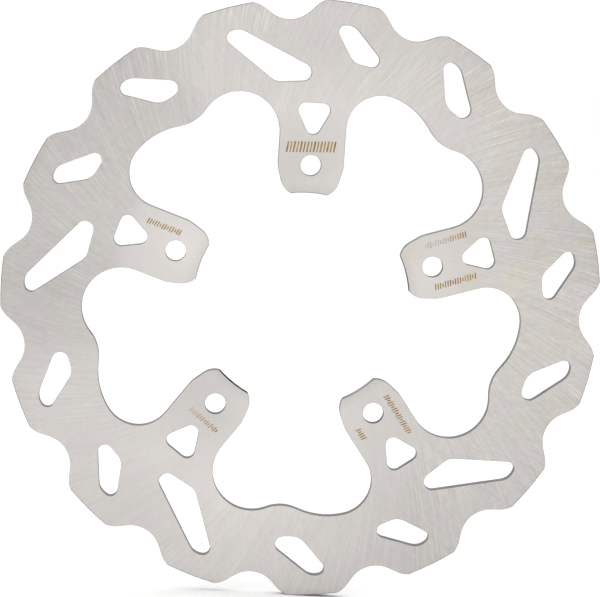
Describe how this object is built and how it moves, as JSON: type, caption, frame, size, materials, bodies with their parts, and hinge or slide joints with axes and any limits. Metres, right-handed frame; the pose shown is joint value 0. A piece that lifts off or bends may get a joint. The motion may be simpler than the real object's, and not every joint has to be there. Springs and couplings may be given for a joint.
{
  "type": "motorcycle brake disc",
  "caption": "Flat one-piece wave brake disc of ground stainless steel, with lightening windows in a scalloped ring and bolt tabs reaching in to the hub.",
  "frame": {"origin": "on the disc's axis, halfway through the plate's thickness", "axes": "+Y is the wheel's axis and points from the marked outer face to the hub face, +Z points from the axis to the first bolt tab, and +X is to the right of someone who looks at the outer face"},
  "size_m": [0.2431, 0.005, 0.244],
  "materials": {
    "ground_stainless": "ground and laser-cut stainless steel, with fine grinding lines on both faces"
  },
  "bodies": {
    "root": {"brake_disc": "ground_stainless"}
  },
  "joints": []
}
